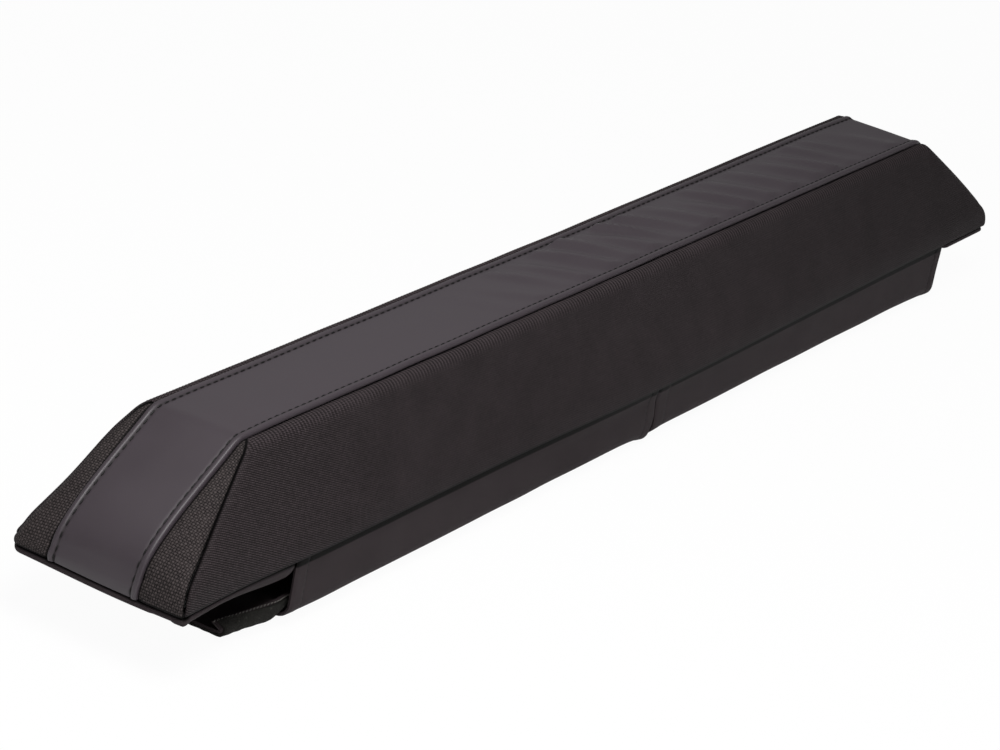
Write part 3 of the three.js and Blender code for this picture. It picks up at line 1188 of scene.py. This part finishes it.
def seat_loop_tape(name, x, share):
    """The tape lies on the outside of the far flap's end, with its edge just under the flap's"""
    path = path_of("far", name, x)
    run = path.length - 1.2 * MM - (1 - share) * tape_width
    y, z = path.at(run)
    left_y, left_z = path.left(run)
    lift = layer_step + 0.25 * MM * uneven(x / (4 * MM), run / (4 * MM), 6.1)
    return Vector((x, y + left_y * lift, z + left_z * lift))


# %% Lay the flaps and the tapes
sleeve_middle = 14 * MM


def hidden_and_shaded_depth(x):
    """How much of a near flap's top the side panel's foot hides from a raised eye, plus a band of painted
    shadow under that foot
    """
    return 0.86 * (half_width - wall - 0.5 * MM + 0.55 * seam_bow(x)) + 1.4 * MM


def split_shift(name, x, run):
    """The near flaps touch at the top of their split, and the left one's corner curls back"""
    low, high = near_spans[name]
    upper = 1 - rise(run, 4 * MM, 24 * MM)
    if name == "left":
        return bell(high - x, 12 * MM) * (-3.4 * MM * upper - 3 * MM * rise(run, 17 * MM, 27 * MM))
    return bell(x - low, 14 * MM) * (-3.6 * MM * upper - 2.4 * MM) - 1.8 * MM * bell(high - x, 14 * MM)


def flap_columns(low, high):
    """Close together over the hems, wider between them"""
    hem = [0, 0.4, 1.2, 3, 5, 7, 8, 8.6, 9.2, 9.8, 10.6, 12]
    near_low = [low + step * MM for step in hem]
    near_high = [high - step * MM for step in reversed(hem)]
    fine_end = low + 46 * MM
    between = spaced(low + 14 * MM, fine_end, 1.2 * MM) + spaced(fine_end, high - 14 * MM, 3 * MM)[1:]
    return near_low + between + near_high


def lay_flap(piece_name, node, kind, name, outside, material, flat_width,
             hemmed=True, rows=44):
    span = span_of(node)
    if hemmed:
        # the distance from the seam, less the hidden top, places the painted shadow of the side panel's foot
        strip = lay_cloth(piece_name, flap_columns(*span), spaced(0, 1, 1 / rows),
                          lambda x, share: seat_flap(kind, name, outside, x, share, span),
                          lambda x, share: (x, share * flat_width),
                          lambda x, share: share * flat_width - hidden_and_shaded_depth(x))
    else:
        strip = lay_cloth(piece_name, spaced(*span, 3 * MM), spaced(0, 1, 1 / rows),
                          lambda x, share: seat_flap(kind, name, outside, x, share, None, 0.0),
                          lambda x, share: (x, share * flat_width))
    thicken(strip, material, node, flap_thickness, sleeve_middle)


for name in ("left", "right"):
    middle_x = sum(near_spans[name]) / 2
    lay_flap(f"near_flap_{name}", f"flap_near_{name}", "near", name, -1, flap_finish,
             near_path(name, middle_x).length)
    lay_flap(f"far_flap_{name}", f"flap_far_{name}", "far", name, 1, flap_finish,
             far_path(name, 0).length, rows=90)
    lay_flap(f"hook_tape_{name}", f"hook_tape_near_{name}", "hook", name, -1, hooks,
             hook_path(name, 0).length, hemmed=False, rows=24)
    low, high = span_of(f"loop_tape_far_{name}")
    tape_columns = spaced(low - 3 * MM, low + 44 * MM, 1 * MM) + spaced(low + 44 * MM, high, 3 * MM)[1:]
    tape = lay_cloth(f"loop_tape_{name}", tape_columns, spaced(0, 1, 1 / 30),
                     lambda x, share: seat_loop_tape(name, x, share),
                     lambda x, share: (x, share * tape_width))
    thicken(tape, loops, f"loop_tape_far_{name}", flap_thickness, sleeve_middle)

# %% Stitches of the hems
hem_stitch = 2.2 * MM, 0.5 * MM  # length and width
hem_pitch = 3.2 * MM
edge_stitch = 1.5 * MM, 0.6 * MM
edge_pitch = 1.7 * MM


def hem_places(kind, name, outside, span, x):
    path = path_of(kind, name, x)
    places = []
    for share in spaced(0.02, 1, hem_pitch / path.length):
        nearby = share, max(0.0, share - 0.01), min(1.0, share + 0.01)
        here, before, after = (seat_flap(kind, name, outside, x, at, span) for at in nearby)
        left_y, left_z = path.left(share * path.length)
        places.append((here, after - before, Vector((0, outside * left_y, outside * left_z))))
    return places


bare_low = span_of("flap_far_left")[0]
edge_places = []
for x in spaced(bare_low + 0.5 * MM, bare_end + 12 * MM, edge_pitch):
    path = path_of("far", "left", x)
    here = seat_flap("far", "left", 1, x, 1 - 0.5 * MM / path.length, (bare_low, far_high.x))
    left_y, left_z = path.left(path.length)
    away = Vector((0, left_y, left_z))
    edge_places.append((here + away * 0.1 * MM, Vector((1, 0, 0.5)), away))
stitch_row("edge_stitches", edge_places, *edge_stitch, pale_thread, "flap_cloth")

for name in ("left", "right"):
    for kind, outside in signs.items():
        span = span_of(f"flap_{kind}_{name}")
        hem_rows = hem_places(kind, name, outside, span, span[0] + hem_width)
        hem_rows += hem_places(kind, name, outside, span, span[1] - hem_width)
        stitch_row(f"hem_stitches_{kind}_{name}", hem_rows, *hem_stitch, dark_thread, "flap_cloth")

# %% [markdown]
# ## Floor, light and background
#
# The pad lies on a pale floor that melts into a white background, as in a studio. The floor shows white
# to the camera but still takes a soft shadow. One large soft lamp overhead gives the coated panel its
# even shine, and two weak ones light the near side and the far end.

# %% Floor
def white_ground(name, share):
    finish = Finish(name, (0.86, 0.86, 0.86), 0.9)
    sight = finish.node("ShaderNodeLightPath")
    seen = sight.maths("MAXIMUM", sight.beside("Is Glossy Ray"))
    seen = seen.maths("MAXIMUM", sight.beside("Is Transmission Ray"))
    glow = finish.node("ShaderNodeEmission", None, {"Color": (1, 1, 1, 1), "Strength": 1.0})
    shader = Wire(finish, finish.shader.outputs[0])
    mixed = finish.node("ShaderNodeMixShader", None, {0: seen * share, 1: shader, 2: glow})
    finish.join(finish.tree.nodes["Material Output"].inputs["Surface"], mixed)
    return finish.material


floor_level = -3.4 * MM
floor = add(bpy.ops.mesh.primitive_plane_add, size=16, location=(0, 0, floor_level))
floor.name = "floor"
floor.data.materials.append(white_ground("floor_white", 0.96))
floor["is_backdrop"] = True

# %% Lamps and world
def add_lamp(name, place, aim, size, power):
    lamp = add(bpy.ops.object.light_add, type="AREA", location=place)
    lamp.name = name
    lamp.data.shape = "RECTANGLE"
    lamp.data.size, lamp.data.size_y = size
    lamp.data.energy = power
    lamp.rotation_euler = (Vector(aim) - Vector(place)).to_track_quat("-Z", "Y").to_euler()


add_lamp("overhead", (-0.5, -0.3, 0.95), (-0.1, 0, 0), (0.6, 0.6), 11.4)
add_lamp("behind", (1.2, 0.75, 0.7), (0.1, 0, 0.05), (0.7, 0.5), 0.3)
add_lamp("near_side", (-0.8, -1.2, 0.45), (-0.2, 0, 0.05), (0.6, 0.5), 0.8)

world = bpy.data.worlds.new("studio")
bpy.context.scene.world = world
world.use_nodes = True
nodes, links = world.node_tree.nodes, world.node_tree.links
sky, sight = nodes["Background"], nodes.new("ShaderNodeLightPath")
white, mix = nodes.new("ShaderNodeBackground"), nodes.new("ShaderNodeMixShader")
sky.inputs["Color"].default_value = (1, 1, 1, 1)
sky.inputs["Strength"].default_value = 0.22
white.inputs["Strength"].default_value = 1.0
for index, output in enumerate((sight.outputs["Is Camera Ray"], sky.outputs[0], white.outputs[0])):
    links.new(output, mix.inputs[index])
links.new(mix.outputs[0], nodes["World Output"].inputs["Surface"])
bpy.context.scene.view_settings.view_transform = "Standard"

# %% The pad's box
low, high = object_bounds()
print("the pad's box is", [round(side / MM, 1) for side in high - low], "mm")
